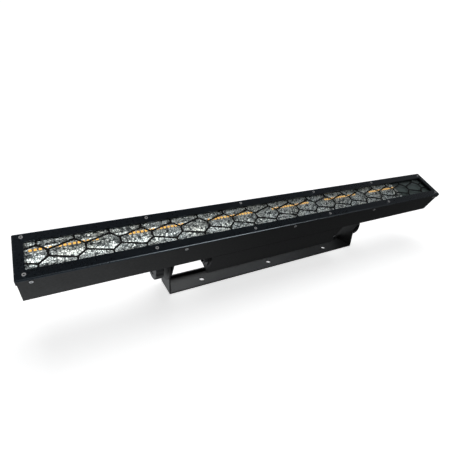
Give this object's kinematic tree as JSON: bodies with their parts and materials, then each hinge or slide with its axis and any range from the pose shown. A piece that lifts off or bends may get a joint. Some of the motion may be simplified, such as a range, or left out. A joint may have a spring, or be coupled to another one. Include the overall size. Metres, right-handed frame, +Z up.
{
  "type": "led strip batten",
  "caption": "Linear stage LED light head with a hexagon-grille window, tilting on a low floor yoke with a clamp knob.",
  "frame": {"origin": "centre of the underside of the yoke's base plate", "axes": "+X along the batten, to the right seen from the front, +Y to the rear, +Z up"},
  "size_m": [1.0002, 0.1271, 0.1742],
  "materials": {
    "black_steel": "satin black powder coat on bent steel",
    "black_coat": "fine satin black powder coat",
    "grille_black": "matt black coated sheet",
    "friction_plastic": "black fibre-filled nylon",
    "clear_glass": "clear toughened glass",
    "seal_rubber": "black foam rubber",
    "hammered_aluminium": "bright hammered aluminium",
    "plain_aluminium": "plain mill aluminium",
    "white_board": "white circuit board lacquer",
    "amber_led": "lit amber LED packages",
    "green_board": "green circuit board with parts",
    "socket_plastic": "black moulded plastic",
    "socket_metal": "black coated die-cast metal",
    "pin_metal": "gilt contact pins",
    "screw_steel": "bright zinc-plated steel",
    "panel_plastic": "fine-textured black plastic",
    "display_tint": "smoked display window",
    "display_plastic": "dark display face",
    "button_rubber": "dark grey moulded rubber",
    "knob_plastic": "black glass-filled nylon",
    "insert_brass": "turned brass"
  },
  "bodies": {
    "yoke": {"yoke_bracket": "black_steel", "friction_disc_left": "friction_plastic", "friction_disc_right": "friction_plastic"},
    "head": {"bezel": "black_coat", "grille": "grille_black", "cover_glass": "clear_glass", "glass_seal": "seal_rubber", "reflector": "hammered_aluminium", "rail_front": "plain_aluminium", "rail_rear": "plain_aluminium", "body_channel": "black_coat", "end_cap_left": "black_coat", "end_cap_right": "black_coat", "led_heatsink": "plain_aluminium", "led_boards": "white_board", "led_chips": "amber_led", "driver_board": "green_board", "box_shell": "black_coat", "box_end_left": "black_coat", "box_end_right": "black_coat", "power_inlet": "socket_plastic", "power_inlet_core": "socket_plastic", "power_outlet": "socket_plastic", "power_outlet_core": "socket_plastic", "data_inlet": "socket_metal", "data_pins": "pin_metal", "data_outlet": "socket_metal", "socket_screws": "screw_steel", "fuse_holder": "socket_plastic", "control_panel": "panel_plastic", "display_window": "display_tint", "display_module": "display_plastic", "control_board": "green_board", "power_supply_case": "plain_aluminium", "power_supply_board": "green_board", "cable_grommet": "seal_rubber", "bezel_screws": "screw_steel", "side_screws": "screw_steel", "cap_screws": "screw_steel", "box_side_screws": "screw_steel", "box_mount_screws": "screw_steel", "pivot_ear_left": "black_steel", "pivot_ear_right": "black_steel", "ear_screws": "screw_steel", "pivot_bolt_left": "screw_steel", "pivot_bolt_right": "screw_steel", "pivot_washer_left": "screw_steel", "pivot_washer_right": "screw_steel", "lock_nut": "screw_steel"},
    "clamp_knob": {"clamp_knob": "knob_plastic", "knob_insert": "insert_brass"},
    "button_menu": {"button_menu": "button_rubber"},
    "button_down": {"button_down": "button_rubber"},
    "button_up": {"button_up": "button_rubber"},
    "button_enter": {"button_enter": "button_rubber"}
  },
  "joints": [
    {"name": "head_tilt", "type": "hinge", "parent": "yoke", "child": "head", "pos_m": [0, 0, 0.065], "axis": [1, 0, 0], "range_deg": [-116, 63]},
    {"name": "clamp_turn", "type": "hinge", "parent": "head", "child": "clamp_knob", "pos_m": [-0.277, 0, 0.065], "axis": [-1, 0, 0], "range_deg": [0, 540]},
    {"name": "button_menu_press", "type": "slide", "parent": "head", "child": "button_menu", "axis": [0, -0.8923, -0.4513], "range_m": [0, 0.001], "stiffness_N_per_m": 400},
    {"name": "button_down_press", "type": "slide", "parent": "head", "child": "button_down", "axis": [0, -0.8923, -0.4513], "range_m": [0, 0.001], "stiffness_N_per_m": 400},
    {"name": "button_up_press", "type": "slide", "parent": "head", "child": "button_up", "axis": [0, -0.8923, -0.4513], "range_m": [0, 0.001], "stiffness_N_per_m": 400},
    {"name": "button_enter_press", "type": "slide", "parent": "head", "child": "button_enter", "axis": [0, -0.8923, -0.4513], "range_m": [0, 0.001], "stiffness_N_per_m": 400}
  ]
}
